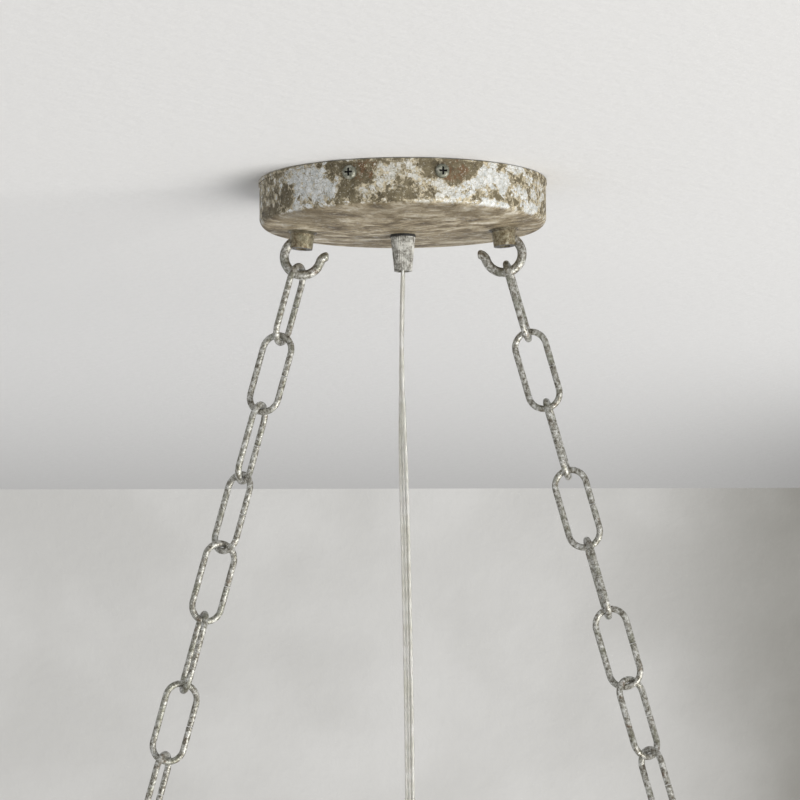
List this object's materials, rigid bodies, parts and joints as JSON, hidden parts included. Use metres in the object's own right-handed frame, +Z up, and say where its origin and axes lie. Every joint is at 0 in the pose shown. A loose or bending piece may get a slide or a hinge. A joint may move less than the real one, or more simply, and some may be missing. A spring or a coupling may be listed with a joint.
{
  "type": "linear crystal chandelier",
  "caption": "Linear crystal chandelier: a rectangular frame of hanging crystals and candle lamps, hung on spread chains with a flat clear cord under a round domed canopy.",
  "frame": {"origin": "middle of the ceiling bracket's two box-screw slots, on the ceiling plane", "axes": "+X along the chandelier to the viewer's right, +Y away from the viewer, +Z up to the ceiling"},
  "size_m": [0.8106, 0.236, 0.6499],
  "materials": {
    "aged_leaf": "flaking pale silver leaf over olive brown steel",
    "hook_steel": "rough silver grey with brown rust specks",
    "chain_steel": "rough silver grey with brown rust specks",
    "zinc_steel": "zinc plated",
    "screw_steel": "aged grey green with a bright rim",
    "earth_green": "green plated",
    "black_plastic": "matt black",
    "grip_metal": "silver grey with dark flutes",
    "connector_plastic": "moulded orange",
    "wire_insulation": "plain",
    "clear_cord": "clear soft plastic over silvery strands",
    "phenolic": "matt black",
    "lamp_glass": "clear",
    "crystal": "cut and polished"
  },
  "bodies": {
    "canopy": {"canopy_pan": "aged_leaf", "canopy_screws": "screw_steel", "mounting_bracket": "zinc_steel", "ground_screw": "earth_green", "left_hook_boss": "hook_steel", "right_hook_boss": "hook_steel", "left_hook": "hook_steel", "right_hook": "hook_steel", "hook_bolts": "zinc_steel", "hook_lock_washers": "zinc_steel", "grip_washer": "black_plastic", "cord_grip": "grip_metal", "grip_locknut": "zinc_steel", "wire_connectors": "connector_plastic", "lead_wires": "wire_insulation"},
    "suspension": {"left_link_01": "chain_steel", "right_link_01": "chain_steel"},
    "left_chain": {"left_link_02": "chain_steel", "left_link_03": "chain_steel", "left_link_04": "chain_steel", "left_link_05": "chain_steel", "left_link_06": "chain_steel", "left_link_07": "chain_steel", "left_link_08": "chain_steel", "left_link_09": "chain_steel", "left_link_10": "chain_steel", "left_link_11": "chain_steel", "left_link_12": "chain_steel"},
    "right_chain": {"right_link_02": "chain_steel", "right_link_03": "chain_steel", "right_link_04": "chain_steel", "right_link_05": "chain_steel", "right_link_06": "chain_steel", "right_link_07": "chain_steel", "right_link_08": "chain_steel", "right_link_09": "chain_steel", "right_link_10": "chain_steel", "right_link_11": "chain_steel", "right_link_12": "chain_steel"},
    "chandelier": {"left_chain_eye": "aged_leaf", "right_chain_eye": "aged_leaf", "eye_nuts": "zinc_steel", "outer_frame": "aged_leaf", "cross_straps": "aged_leaf", "spine_tube": "aged_leaf", "spine_finials": "aged_leaf", "inlet_grip": "grip_metal", "inlet_locknut": "zinc_steel", "body_wiring": "wire_insulation", "socket_cups": "aged_leaf", "lamp_sockets": "phenolic"},
    "cord": {"supply_cord": "clear_cord"},
    "lamp_1": {"bulb_1": "lamp_glass"},
    "lamp_2": {"bulb_2": "lamp_glass"},
    "lamp_3": {"bulb_3": "lamp_glass"},
    "lamp_4": {"bulb_4": "lamp_glass"},
    "front_row": {"front_crystals": "crystal"},
    "back_row": {"back_crystals": "crystal"},
    "left_row": {"left_crystals": "crystal"},
    "right_row": {"right_crystals": "crystal"}
  },
  "joints": [
    {"name": "swing_fore_aft", "type": "hinge", "parent": "canopy", "child": "suspension", "pos_m": [0, 0, -0.04855], "axis": [1, 0, 0], "range_deg": [-15, 15]},
    {"name": "sway", "type": "hinge", "parent": "suspension", "child": "left_chain", "pos_m": [-0.06567, 0, -0.08454], "axis": [0, 1, 0], "range_deg": [-4.5, 4.5]},
    {"name": "chandelier_tilt", "type": "hinge", "parent": "left_chain", "child": "chandelier", "pos_m": [-0.1766, 0, -0.48454], "axis": [0, 1, 0], "range_deg": [-1.7, 1.7]},
    {"name": "right_chain_sway", "type": "hinge", "parent": "suspension", "child": "right_chain", "pos_m": [0.06567, 0, -0.08454], "axis": [0, 1, 0], "range_deg": [-4.6, 4.6]},
    {"name": "cord_lean", "type": "hinge", "parent": "suspension", "child": "cord", "pos_m": [0, 0, -0.0446], "axis": [0, 1, 0], "range_deg": [-4.2, 4.2], "deforming": ["supply_cord"]},
    {"name": "front_row_swing", "type": "hinge", "parent": "chandelier", "child": "front_row", "pos_m": [0, -0.113, -0.52254], "axis": [1, 0, 0], "range_deg": [-8, 8]},
    {"name": "back_row_swing", "type": "hinge", "parent": "chandelier", "child": "back_row", "pos_m": [0, 0.113, -0.52254], "axis": [1, 0, 0], "range_deg": [-8, 8]},
    {"name": "left_row_swing", "type": "hinge", "parent": "chandelier", "child": "left_row", "pos_m": [-0.3795, 0, -0.52254], "axis": [0, 1, 0], "range_deg": [-8, 8]},
    {"name": "right_row_swing", "type": "hinge", "parent": "chandelier", "child": "right_row", "pos_m": [0.3795, 0, -0.52254], "axis": [0, 1, 0], "range_deg": [-8, 8]},
    {"name": "bulb_1_turn", "type": "hinge", "parent": "chandelier", "child": "lamp_1", "pos_m": [-0.27, 0, -0.57244], "axis": [0, 0, -1], "range_deg": [0, 1800]},
    {"name": "bulb_2_turn", "type": "hinge", "parent": "chandelier", "child": "lamp_2", "pos_m": [-0.09, 0, -0.57244], "axis": [0, 0, -1], "range_deg": [0, 1800]},
    {"name": "bulb_3_turn", "type": "hinge", "parent": "chandelier", "child": "lamp_3", "pos_m": [0.09, 0, -0.57244], "axis": [0, 0, -1], "range_deg": [0, 1800]},
    {"name": "bulb_4_turn", "type": "hinge", "parent": "chandelier", "child": "lamp_4", "pos_m": [0.27, 0, -0.57244], "axis": [0, 0, -1], "range_deg": [0, 1800]}
  ],
  "couplings": [
    {"joint": "chandelier_tilt", "follows": "sway", "ratio": -0.37187},
    {"joint": "right_chain_sway", "follows": "sway", "ratio": 1},
    {"joint": "cord_lean", "follows": "sway", "ratio": 0.90612}
  ]
}
